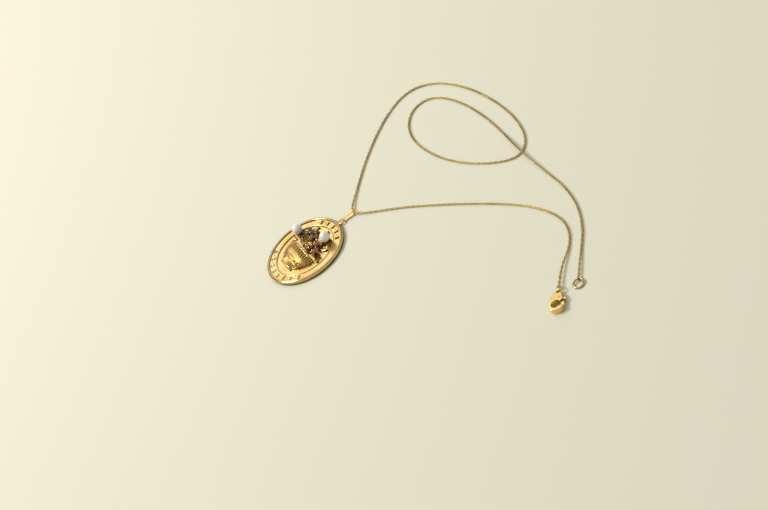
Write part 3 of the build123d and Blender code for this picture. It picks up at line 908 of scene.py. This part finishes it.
def rib_tree(count):
    """Upright ribs that follow the basket's side, evenly turned about it."""
    tree = Nodes("basket ribs", Ribs=count, Radius=rib_radius * MM, Span=radians(rib_span_deg))
    step = tree.sum("DIVIDE", tree.given("Span"), tree.sum("SUBTRACT", tree.given("Ribs"), 1.0))
    low = tree.sum("SUBTRACT", pi / 2, tree.sum("MULTIPLY", tree.given("Span"), 0.5))
    spots = tree.add("GeometryNodePoints", None, {"Count": tree.given("Ribs")})
    turn = tree.sum("ADD", low, tree.sum("MULTIPLY", tree.add("GeometryNodeInputIndex"), step))
    spots = tree.add("GeometryNodeStoreNamedAttribute", {"data_type": "FLOAT", "domain": "POINT"},
                     {"Geometry": spots, "Name": "turn", "Value": turn})
    stick = tree.add("GeometryNodeCurvePrimitiveLine", None,
                     {"Start": (0, rib_top * MM, 0), "End": (0, rib_bottom * MM, 0)})
    stick = tree.add("GeometryNodeResampleCurve", None, {"Curve": stick, "Count": 7})
    sticks = tree.add("GeometryNodeInstanceOnPoints", None, {"Points": spots, "Instance": stick})
    sticks = tree.add("GeometryNodeRealizeInstances", None, {0: sticks})
    height = tree.add("ShaderNodeSeparateXYZ", None, {0: tree.add("GeometryNodeInputPosition")}, output=1)
    drop = tree.sum("SUBTRACT", height, basket_top_y * MM)
    half = tree.sum("ADD", side_centre * MM, tree.sum("SQRT", tree.sum(
        "SUBTRACT", (side_radius * MM) ** 2, tree.sum("MULTIPLY", drop, drop))))
    given_turn = tree.add("GeometryNodeInputNamedAttribute", {"data_type": "FLOAT"}, {"Name": "turn"})
    x = tree.sum("MULTIPLY", half, tree.sum("COSINE", given_turn))
    z = tree.sum("ADD", field_z * MM, tree.sum("MULTIPLY", tree.sum("MULTIPLY", half, basket_relief),
                                               tree.sum("SINE", given_turn)))
    bent = tree.add("ShaderNodeCombineXYZ", None, {0: x, 1: height, 2: z})
    sticks = tree.add("GeometryNodeSetPosition", None, {"Geometry": sticks, "Position": bent})
    section = tree.add("GeometryNodeCurvePrimitiveCircle", {"mode": "RADIUS"},
                       {"Resolution": 10, "Radius": tree.given("Radius")})
    solid = tree.add("GeometryNodeCurveToMesh", None,
                     {"Curve": sticks, "Profile Curve": section, "Fill Caps": True})
    tree.finish(solid, basket_gold)
    return tree


rib_seed = bpy.data.meshes.new("rib seed")
rib_mesh = rib_tree(rib_count).grow("basket ribs", rib_seed)
finish_piece("basket_rib_bars", rib_mesh, basket_gold, "medallion", ["basket_ribs"])

foot_high = span("basket_foot")[1]
foot_profile = ((0.0, 0.0), (0.12, 0.0), (0.0, 0.06), (0.02, 0.30), (0.14, 0.40), (0.02, 0.52), (0.0, 0.64),
                (0.12, 0.70))
foot_turns = 72
foot_points, foot_shade = [], []
for inset, drop in foot_profile:
    for step in range(foot_turns):
        turn = pi * step / (foot_turns - 1)
        half = foot_high.x - (0.5 if (inset, drop) == (0.0, 0.0) else inset)
        foot_points.append((half * cos(turn), foot_high.y - drop, field_z + basket_relief * half * sin(turn)))
        # painted shade in the moulding's groove, and a little over the rest
        foot_shade.append(0.9 if inset == 0.14 else 0.1)
foot_faces = rings_to_faces(len(foot_profile), foot_turns, closed_rings=False)
foot_faces += half_shell_closure(len(foot_profile), foot_turns)
piece("basket_foot_moulding", foot_points, foot_faces, basket_gold, "medallion", ["basket_foot"],
      hollow=foot_shade)


# ========================================================================================
# Bouquet: foliage pad, leaves, pearls in their cups, stones in their claws, gold blossom
# ========================================================================================
def carved_leaf(length, width, thickness, curl=0.25):
    """Pointed leaf along +X with a sunk midrib, raised sides between side veins and a curled tip."""
    rows, columns = 22, 13
    top, bottom, hollow = [], [], []
    for row in range(rows):
        t = row / (rows - 1)
        half = width / 2 * sin(pi * t) ** 0.75 * (1.12 - 0.35 * t) + 0.03
        for column in range(columns):
            s = column / (columns - 1) * 2 - 1
            rib = 1 - smooth(abs(s) / 0.16)
            vein = 0.5 + 0.5 * cos(full_turn * (t * 5.0 - abs(s) * 0.9))
            crown = (1 - abs(s) ** 1.7) * thickness * 0.30
            lift = curl * t ** 2.2 + crown - 0.10 * rib + 0.035 * vein * (1 - rib)
            edge_cut = 1 - 0.10 * (0.5 + 0.5 * cos(full_turn * t * 6.0)) * abs(s) ** 4
            top.append(Vector((length * t, half * s * edge_cut, thickness * 0.62 + lift)))
            bottom.append(Vector((length * t, half * s * edge_cut, min(curl * t ** 2.2, thickness * 0.62))))
            # painted shade in the sunk midrib and in the lows between the side veins
            hollow.append(max(rib, 0.5 * (1 - vein)))
    faces = rings_to_faces(rows, columns, closed_rings=False)
    start = len(top)
    faces += [tuple(start + k for k in face)[::-1] for face in faces]
    border = list(range(columns)) + [row * columns + columns - 1 for row in range(1, rows)]
    border += [(rows - 1) * columns + k for k in range(columns - 2, -1, -1)]
    border += [row * columns for row in range(rows - 2, 0, -1)]
    for here, following in zip(border, border[1:] + border[:1]):
        faces.append((here, start + here, start + following, following))
    # painted shade over the leaf's underside
    return top + bottom, faces, hollow + [0.9] * len(bottom)


def turned(points, angle_deg, place):
    turn = Matrix.Rotation(radians(angle_deg), 3, "Z")
    return [turn @ Vector(p) + Vector(place) for p in points]


leaf_ways = {"leaf_low_left": (-7.3, 0.5, 186.0), "leaf_high_left": (-5.6, 6.3, 70.0),
             "leaf_top": (0.9, 7.4, 100.0), "leaf_high_right": (5.6, 3.9, 38.0),
             "leaf_low_right": (7.2, 0.6, -6.0)}
leaf_length, leaf_width, leaf_thickness = 2.7, 1.25, 0.5
for node, (leaf_x, leaf_y, leaf_turn) in leaf_ways.items():
    leaf_points, leaf_faces, leaf_shade = carved_leaf(leaf_length, leaf_width, leaf_thickness)
    leaf_points = turned(leaf_points, leaf_turn, (leaf_x, leaf_y, field_z))
    piece(f"{node}_carved", leaf_points, leaf_faces, leaf_polish, "medallion", [node], hollow=leaf_shade)


def foliage_tree(leaflet, spread_seed):
    """Leaflets scattered over the upper side of the bouquet's pad."""
    tree = Nodes("bouquet foliage", Spacing=0.62 * MM, Seed=spread_seed, Smallest=0.7, Largest=1.15)
    facing = tree.add("ShaderNodeSeparateXYZ", None, {0: tree.add("GeometryNodeInputNormal")}, output=2)
    upper = tree.sum("GREATER_THAN", facing, 0.9)
    scatter = tree.add("GeometryNodeDistributePointsOnFaces", {"distribute_method": "POISSON"}, {
        "Mesh": tree.source.outputs[0], "Selection": upper, "Distance Min": tree.given("Spacing"),
        "Density Max": 9e6, "Seed": tree.given("Seed")})
    grown_leaflet = tree.add("GeometryNodeObjectInfo", None, {"Object": leaflet}, output="Geometry")
    turn = tree.add("FunctionNodeRandomValue", {"data_type": "FLOAT"},
                    {"Min": 0.0, "Max": full_turn, "Seed": tree.given("Seed")}, output=1)
    tip = tree.add("FunctionNodeRandomValue", {"data_type": "FLOAT"},
                   {"Min": -0.45, "Max": -0.1, "Seed": 7}, output=1)
    size = tree.add("FunctionNodeRandomValue", {"data_type": "FLOAT"},
                    {"Min": tree.given("Smallest"), "Max": tree.given("Largest"), "Seed": 11}, output=1)
    ways = tree.add("ShaderNodeCombineXYZ", None, {1: tip, 2: turn})
    leaves = tree.add("GeometryNodeInstanceOnPoints", None, {
        "Points": scatter, "Instance": grown_leaflet, "Rotation": ways, "Scale": size})
    tree.finish(leaves, leaf_gold)
    return tree


def small_leaflet():
    """Leaflet of eighteen faces, 1.05 mm long, lying along +X on z = 0."""
    outline = [(0.0, 0.06), (0.26, 0.22), (0.55, 0.26), (0.85, 0.13), (1.05, 0.02)]
    points, faces = [], []
    for x, half in outline:
        points += [(x, -half, 0.02), (x, 0, 0.15), (x, half, 0.02), (x, 0, -0.06)]
    for k in range(len(outline) - 1):
        for side in range(4):
            following = (side + 1) % 4
            faces.append((4 * k + side, 4 * k + following, 4 * k + 4 + following, 4 * k + 4 + side))
    faces += [(3, 2, 1, 0), (16, 17, 18, 19)]
    mesh = bpy.data.meshes.new("leaflet")
    mesh.from_pydata([tuple(Vector(p) * MM) for p in points], [], faces)
    work = bmesh.new()
    work.from_mesh(mesh)
    bmesh.ops.recalc_face_normals(work, faces=work.faces)
    work.to_mesh(mesh)
    work.free()
    return mesh


pad_mesh = merged_copy("bouquet_plate")
leaflet_object = linked("leaflet", small_leaflet())
foliage_mesh = foliage_tree(leaflet_object, 5).grow("foliage", pad_mesh.copy())
bpy.data.objects.remove(leaflet_object)
foliage_work = bmesh.new()
foliage_work.from_mesh(pad_mesh)
foliage_work.from_mesh(foliage_mesh)
foliage_work.to_mesh(pad_mesh)
foliage_work.free()
finish_piece("bouquet_foliage", pad_mesh, leaf_gold, "medallion", ["bouquet_plate"], flat=True, merge=0.00001)


def pearl_piece(node, seed):
    """Cultured pearl, round to within a few hundredths, with a faint ring."""
    centre = over_middle(node, span(node)[1].z - pearl_radius)
    points, faces = ball(1.0, 40, 64)
    shaped = []
    for p in points:
        swell = noise.noise(Vector(p) * 1.3 + Vector((seed, 0, 0))) * 0.018
        ring = -0.012 * smooth(1 - abs(p.z * 0.9 + p.x * 0.3 - 0.45) / 0.12)
        shaped.append(centre + Vector(p) * pearl_radius * (0.99 + swell + ring))
    piece(f"{node}_bead", shaped, faces, pearl, "medallion", [node])
    return centre


def calyx(node, pearl_centre):
    """Cup of eight round petals that holds a pearl from below."""
    foot = span(node)[0].z
    steps = 96
    rows = ((0.42, 0.0), (0.62, 0.05), (0.86, 0.20), (1.06, 0.42), (1.18, 0.66), (1.22, 0.80), (1.10, 0.80),
            (1.00, 0.62), (0.80, 0.40), (0.40, 0.25))
    points, hollow = [], []
    for i, (reach, height) in enumerate(rows):
        opening = smooth(height / 0.8)
        for turn in turns(steps):
            petal = abs(cos(4 * turn))
            out = reach * (1 + 0.16 * opening * petal)
            rise = height * (1 - 0.45 * opening * (1 - petal) ** 2)
            points.append((pearl_centre.x + out * cos(turn), pearl_centre.y + out * sin(turn), foot + rise))
            # painted shade inside the cup and between the petals
            hollow.append(0.9 if i > 5 else smooth(0.9 - 1.6 * petal))
    faces = rings_to_faces(len(rows), steps) + end_caps(len(points), steps)
    piece(f"{node}_petals", points, faces, setting_gold, "medallion", [node], hollow=hollow)


for side, seed in (("left", 3.0), ("right", 11.0)):
    calyx(f"{side}_pearl_cup", pearl_piece(f"{side}_pearl", seed))


def brilliant(radius):
    """Corner points of a round brilliant, whose hull is the stone: table, crown, girdle and pavilion."""
    table, crown, girdle = 0.38 * radius, 0.20 * radius, 0.05 * radius
    eighth = full_turn / 8

    def facet_corners(reach, height, shift):
        corners = [(k + shift) * eighth for k in range(8)]
        return [Vector((reach * radius * cos(turn), reach * radius * sin(turn), height)) for turn in corners]

    points = facet_corners(0.56, table, 0) + facet_corners(0.80, crown, 0.5)
    for k in range(16):
        x, y = radius * cos(k * eighth / 2), radius * sin(k * eighth / 2)
        points += [Vector((x, y, girdle)), Vector((x, y, -girdle))]
    points += facet_corners(0.45, -0.40 * radius, 0.5)
    points.append(Vector((0, 0, -0.74 * radius)))
    return points


def stone_piece(node, material, turn_deg):
    """Cut stone in a node's place; gives back its centre and radius for its setting."""
    radius = half_across(node) * 0.995
    centre = over_middle(node, span(node)[0].z + 0.75 * radius)
    spin = Matrix.Rotation(radians(turn_deg), 3, "Z")
    work = bmesh.new()
    for point in brilliant(radius):
        work.verts.new((centre + spin @ point) * MM)
    hull = bmesh.ops.convex_hull(work, input=work.verts)
    inside = [e for e in hull["geom_interior"] if isinstance(e, bmesh.types.BMVert)]
    bmesh.ops.delete(work, geom=inside, context="VERTS")
    bmesh.ops.dissolve_limit(work, angle_limit=radians(0.6), verts=work.verts, edges=work.edges)
    mesh = bpy.data.meshes.new(node)
    work.to_mesh(mesh)
    work.free()
    finish_piece(f"{node}_cut", mesh, material, "medallion", [node], flat=True, merge=0.001)
    return centre, radius


def claw_setting(centre, radius, foot_z, turn_deg=45.0):
    """Tapered collar with a bright rim, and four claws bent over the stone's crown."""
    height = centre.z - foot_z
    outline = [(0.50 * radius, foot_z), (0.66 * radius, foot_z), (0.72 * radius, foot_z + 0.12 * height),
               (0.64 * radius, foot_z + 0.28 * height), (0.74 * radius, foot_z + 0.50 * height),
               (0.90 * radius, foot_z + 0.80 * height), (1.03 * radius, foot_z + 0.94 * height),
               (1.03 * radius, centre.z - 0.02 * radius), (0.96 * radius, centre.z - 0.06 * radius),
               (0.62 * radius, foot_z + 0.62 * height), (0.30 * radius, foot_z + 0.4 * height)]
    shade = [0.9, 0.8, 0.3, 1.0, 0.5, 0.2, 0.0, 0.0, 0.5, 1.0, 1.0]
    collar_steps, claw_sides = 40, 8
    parts = [moved(lathe(outline, collar_steps), (centre.x, centre.y, 0))]
    hollow = shade * collar_steps
    claw_line = ((0.84, foot_z + 0.02, 0.15), (0.98, foot_z + 0.55 * height, 0.16),
                 (1.06, centre.z - 0.02 * radius, 0.18), (1.03, centre.z + 0.14 * radius, 0.19),
                 (0.92, centre.z + 0.24 * radius, 0.18), (0.82, centre.z + 0.27 * radius, 0.14),
                 (0.77, centre.z + 0.27 * radius, 0.05))
    base = Vector((centre.x, centre.y, 0))
    for k in range(4):
        turn = radians(turn_deg + 90 * k)
        way = Vector((cos(turn), sin(turn), 0))
        path = [base + way * (reach * radius) + Vector((0, 0, rise)) for reach, rise, _ in claw_line]
        claw = tube(path, [thickness * radius for _, _, thickness in claw_line], claw_sides)
        parts.append(claw)
        # painted shade at each claw's foot, and a little along the rest
        hollow += [0.4] * claw_sides + [0.1] * (len(claw[0]) - claw_sides)
    return parts, hollow


def set_stone(node, material, turn_deg, claws, setting):
    """A stone on the bouquet, in claws of its own."""
    centre, radius = stone_piece(node, material, turn_deg)
    parts, hollow = claw_setting(centre, radius, bouquet_z)
    piece(claws, *joined(parts), setting_gold, "medallion", [setting], hollow=hollow)


for i in range(1, 4):
    set_stone(f"ruby_{i}", ruby, 11 + 27 * i, f"ruby_claws_{i}", f"ruby_setting_{i}")

flower_parts, flower_shade = [], []
flower_foot = span("blue_flower_setting")[0].z
flower_floor = span("blue_flower_bead")[0].z
flower_middle = middle("blue_flower_bead")
flower_reach = 1.75
for i in range(1, 6):
    blue_centre, blue_size = stone_piece(f"sapphire_{i}", sapphire, 8 + 31 * i)
    blue_parts, blue_hollow = claw_setting(blue_centre, blue_size, flower_floor, 20.0 + 72 * i)
    flower_parts += blue_parts
    flower_shade += blue_hollow
flower_plate = [(0.0, flower_foot), (flower_reach, flower_foot), (flower_reach + 0.1, flower_foot + 0.14),
                (flower_reach, flower_floor), (1.3, flower_floor + 0.03), (0.9, flower_floor - 0.05),
                (0.0, flower_floor)]
flower_parts.append(moved(lathe(flower_plate, 60), (flower_middle.x, flower_middle.y, 0)))
# painted shade at the plate's foot and in its dished middle
flower_shade += [0.8, 0.6, 0.2, 0.2, 0.4, 0.9, 0.9] * 60
piece("blue_flower_claws", *joined(flower_parts), setting_gold, "medallion", ["blue_flower_setting"],
      hollow=flower_shade)
set_stone("bud_sapphire", sapphire, 17, "bud_claws", "bud_setting")


golden_angle = 2.39996


def pollen_bead(node, name, material, grains, grain_size):
    """Bead covered with small grains set on a spiral from its top down."""
    radius = half_across(node)
    centre = over_middle(node, span(node)[1].z - radius)
    parts = [moved(ball(radius * 0.93, 16, 28), centre)]
    # painted shade on the bead's core, which shows between the grains
    hollow = [0.75] * len(parts[0][0])
    for k in range(grains):
        rise = 1 - 1.25 * (k + 0.5) / grains
        turn = k * golden_angle
        out = sqrt(max(0.0, 1 - rise * rise))
        spot = centre + Vector((out * cos(turn), out * sin(turn), rise)) * (radius - grain_size * 0.55)
        parts.append(moved(ball(grain_size, 6, 9), spot))
        hollow += [0.0] * len(parts[-1][0])
    piece(name, *joined(parts), material, "medallion", [node], hollow=hollow)


pollen_bead("blue_flower_bead", "blue_flower_pollen", pollen_gold, 26, 0.15)
pollen_bead("gold_blossom_bead", "gold_blossom_pollen", setting_gold, 17, 0.14)

blossom_middle = middle("gold_blossom_bead")
petal_outline = [(0.0, 0.02), (0.42, 0.0), (0.66, 0.18), (0.74, 0.46), (0.70, 0.60), (0.60, 0.58),
                 (0.46, 0.40), (0.22, 0.27), (0.0, 0.24)]
petal_count, petal_steps = 5, 36
# painted shade at each petal's foot and in its dished middle
petal_shade = [0.9, 0.6, 0.2, 0.0, 0.0, 0.05, 0.3, 0.6, 0.8]
petal_parts = []
for k in range(petal_count):
    way = radians(90 + 72 * k)
    petal_points, petal_faces = lathe(petal_outline, petal_steps)
    lean = Matrix.Rotation(radians(16), 3, Vector((sin(way), -cos(way), 0)))
    leaning = [lean @ Vector(p) for p in petal_points]
    spot = (blossom_middle.x + cos(way), blossom_middle.y + sin(way), bouquet_z + 0.16)
    petal_parts.append(moved((leaning, petal_faces), spot))
piece("gold_blossom_petals", *joined(petal_parts), setting_gold, "medallion", ["gold_blossom"],
      hollow=petal_shade * petal_steps * petal_count)

grain_outline = [(0.0, 0.0), (0.44, 0.0), (0.46, 0.10), (0.34, 0.16), (0.36, 0.34), (0.26, 0.52),
                 (0.12, 0.60), (0.0, 0.62)]
grain_shade = [0.9, 0.5, 0.3, 1.0, 0.1, 0.0, 0.0, 0.0]
grain_steps = 24
grain_spots = ((-2.9, 1.3), (-1.7, 1.7), (-0.7, 2.5), (3.6, 1.7), (1.3, 4.1))
grain_parts = [moved(lathe(grain_outline, grain_steps), (*spot, bouquet_z - 0.02)) for spot in grain_spots]
piece("bouquet_grains", *joined(grain_parts), gold, "medallion", ["gold_grains"],
      hollow=grain_shade * grain_steps * len(grain_spots))

softened("rim_loop", gold, "medallion")
softened("bail", gold, "bail", 0.09, 3)

# ========================================================================================
# Floor and light
# ========================================================================================
floor_size = 6.0
floor_mesh = bpy.data.meshes.new("floor")
floor_corners = [(x * floor_size, y * floor_size, 0) for x, y in ((-1, -1), (1, -1), (1, 1), (-1, 1))]
floor_mesh.from_pydata(floor_corners, [], [(0, 1, 2, 3)])
floor = linked("floor", floor_mesh)
floor_finish = Finish("floor", (0.83, 0.805, 0.64), 0.7)
floor_finish.bump(floor_finish.noise(2.2, 3.0), 0.02, 0.4)
floor_mesh.materials.append(floor_finish.data)


def soft_light(name, place, size, power, color):
    """A square area light that faces the medallion."""
    data = bpy.data.lights.new(name, "AREA")
    data.shape = "SQUARE"
    data.size = size
    data.energy = power
    data.color = color
    light = linked(name, data)
    light.location = place
    light.rotation_euler = (Vector((0.02, 0.03, 0)) - Vector(place)).to_track_quat("-Z", "Y").to_euler()


soft_light("window", (-0.42, -0.52, 0.80), 0.30, 6.4, (1.0, 0.98, 0.94))
soft_light("panel", (-0.85, 0.10, 0.62), 0.80, 1.75, (1.0, 0.98, 0.95))

sky_strength = 0.70
world = bpy.data.worlds.new("studio")
bpy.context.scene.world = world
world.use_nodes = True
sky = world.node_tree
rise = sky.nodes.new("ShaderNodeSeparateXYZ")
sky.links.new(sky.nodes.new("ShaderNodeTexCoord").outputs["Generated"], rise.inputs[0])
tint = sky.nodes.new("ShaderNodeValToRGB")
tint.color_ramp.elements[0].position = 0.0
tint.color_ramp.elements[0].color = (0.20, 0.185, 0.15, 1)
tint.color_ramp.elements[1].position = 0.85
tint.color_ramp.elements[1].color = (0.80, 0.80, 0.78, 1)
sky.links.new(rise.outputs[2], tint.inputs[0])
sky.links.new(tint.outputs[0], sky.nodes["Background"].inputs["Color"])
sky.nodes["Background"].inputs["Strength"].default_value = sky_strength
bpy.context.scene.view_settings.view_transform = "Standard"
